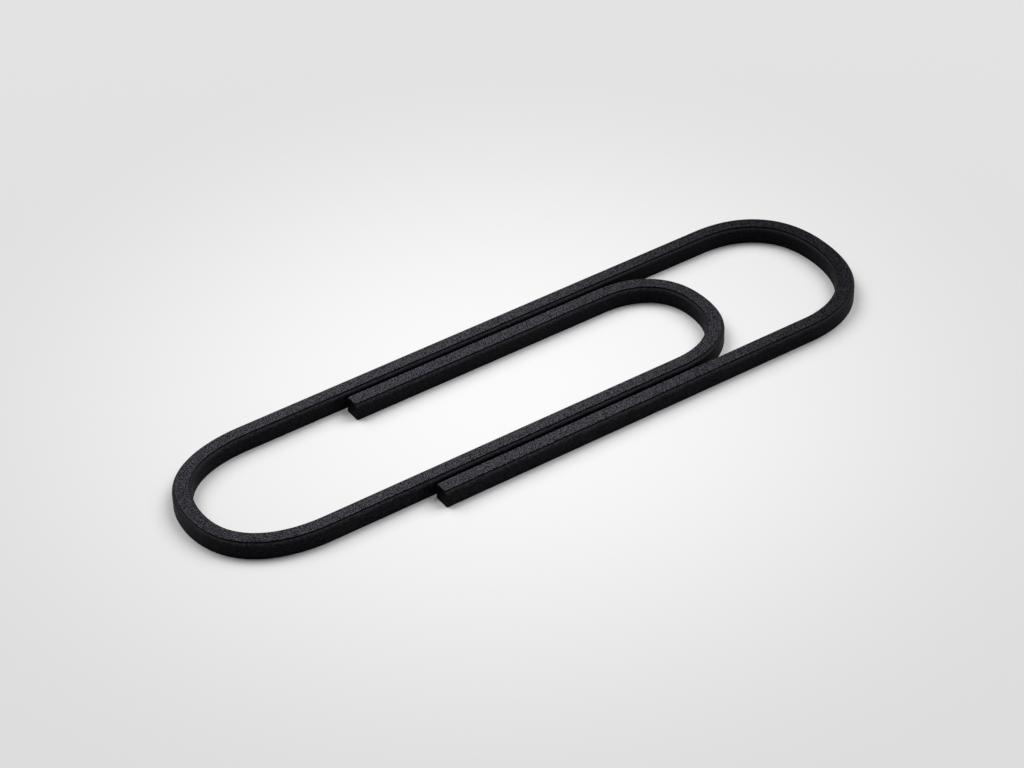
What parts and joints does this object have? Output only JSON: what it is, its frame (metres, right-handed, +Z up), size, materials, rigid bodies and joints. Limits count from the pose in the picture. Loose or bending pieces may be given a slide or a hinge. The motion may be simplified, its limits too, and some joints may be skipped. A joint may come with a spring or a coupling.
{
  "type": "paper clip",
  "caption": "Large flat paper clip in black matt plastic: a square strip bent into an outer loop and an inner tongue that lifts to grip paper.",
  "frame": {"origin": "centre of the clip's box, on the surface that it lies on", "axes": "+X along the legs towards the large outer bend, +Y across the legs towards the back leg, +Z up out of the clip's plane"},
  "size_m": [0.1, 0.0264, 0.0025],
  "materials": {
    "black_plastic": "matt black with a fine sandy grain on the upper face and smoother side walls"
  },
  "bodies": {
    "outer_frame": {"outer_back_leg": "black_plastic", "outer_bend_back": "black_plastic", "heel_bend_back": "black_plastic"},
    "outer_arm": {"outer_free_leg": "black_plastic", "outer_bend_front": "black_plastic"},
    "tongue": {"inner_front_leg": "black_plastic", "heel_bend_front": "black_plastic", "inner_bend_front": "black_plastic"},
    "inner_arm": {"inner_free_leg": "black_plastic", "inner_bend_back": "black_plastic"}
  },
  "joints": [
    {"name": "tongue_lift", "type": "hinge", "parent": "outer_frame", "child": "tongue", "pos_m": [-0.04875, 0.0015, 0.00125], "axis": [0, -1, 0], "range_deg": [0, 8], "stiffness_Nm_per_rad": 0.175},
    {"name": "outer_arm_lift", "type": "hinge", "parent": "outer_frame", "child": "outer_arm", "pos_m": [0.04875, 0, 0.00125], "axis": [0, 1, 0], "range_deg": [0, 6], "stiffness_Nm_per_rad": 0.17},
    {"name": "inner_arm_lift", "type": "hinge", "parent": "tongue", "child": "inner_arm", "pos_m": [0.028, 0, 0.00125], "axis": [0, 1, 0], "range_deg": [0, 5], "stiffness_Nm_per_rad": 0.215}
  ]
}
